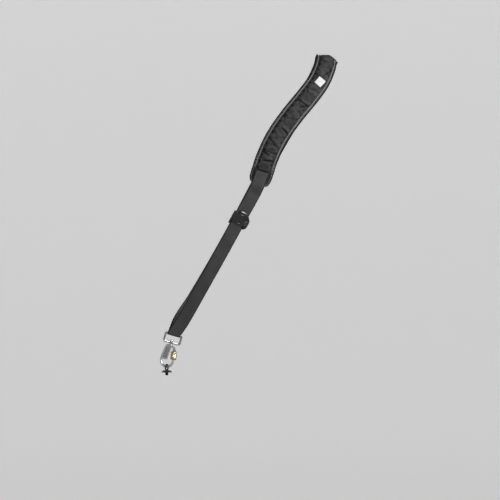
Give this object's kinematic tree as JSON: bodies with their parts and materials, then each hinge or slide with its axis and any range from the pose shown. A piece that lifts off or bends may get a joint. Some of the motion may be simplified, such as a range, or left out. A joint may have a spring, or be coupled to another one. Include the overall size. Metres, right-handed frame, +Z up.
{
  "type": "camera sling strap",
  "caption": "Camera sling strap: padded shoulder piece on a webbing loop, with slide lock, wire ring, swivel locking hook and screw-in camera fastener",
  "frame": {"origin": "middle of the pad's underside at the top of the wearer's shoulder", "axes": "+Z up, the wearer faces -Y, +X towards the wearer's left"},
  "size_m": [0.3387, 0.2332, 0.611],
  "materials": {
    "pad_cloth": "matte woven cloth",
    "binding_tape": "matte tape",
    "piping_cord": "matte cord",
    "patch_cloth": "smooth, bare",
    "nylon_webbing": "ribbed weave",
    "moulded_plastic": "satin gloss",
    "steel": "bright plated",
    "satin_steel": "satin",
    "brass": "polished",
    "black_steel": "black oxide, satin",
    "black_rubber": "matte"
  },
  "bodies": {
    "strap": {"shoulder_pad": "pad_cloth", "edge_binding": "binding_tape", "gathered_panel": "pad_cloth", "piping_left": "piping_cord", "piping_right": "piping_cord", "label_patch": "patch_cloth", "webbing": "nylon_webbing", "lock_base": "moulded_plastic", "lock_pin": "satin_steel"},
    "lid": {"lock_lid": "moulded_plastic"},
    "ring": {"strap_ring": "steel"},
    "hook": {"hook_body": "satin_steel", "gate_pin": "steel"},
    "gate": {"hook_gate": "satin_steel"},
    "sleeve": {"lock_sleeve": "brass"},
    "fastener": {"fastener_eye": "black_steel", "fastener_washer": "black_rubber"}
  },
  "joints": [
    {"name": "lid_swing", "type": "hinge", "parent": "strap", "child": "lid", "pos_m": [-0.17881, -0.11246, -0.29583], "axis": [-0.4722, 0.187, -0.8614], "range_deg": [0, 100]},
    {"name": "ring_swing", "type": "hinge", "parent": "strap", "child": "ring", "pos_m": [-0.2894, -0.0258, -0.51782], "axis": [0.9613, 0, -0.2756], "range_deg": [-75, 75]},
    {"name": "hook_swivel", "type": "hinge", "parent": "ring", "child": "hook", "pos_m": [-0.29403, -0.0258, -0.53397], "axis": [0.225, 0, 0.9744], "continuous": true},
    {"name": "gate_swing", "type": "hinge", "parent": "hook", "child": "gate", "pos_m": [-0.28874, -0.03013, -0.5473], "axis": [0.4574, 0.8829, -0.1056], "range_deg": [0, 20], "stiffness_Nm_per_rad": 0.004, "springref_deg": -20.05},
    {"name": "sleeve_slide", "type": "slide", "parent": "gate", "child": "sleeve", "axis": [0.1107, 0.0613, 0.992], "range_m": [-0.004, 0]},
    {"name": "fastener_swing", "type": "hinge", "parent": "hook", "child": "fastener", "pos_m": [-0.30319, -0.02651, -0.57961], "axis": [0.8879, -0.46, 0], "range_deg": [-90, 90]}
  ]
}
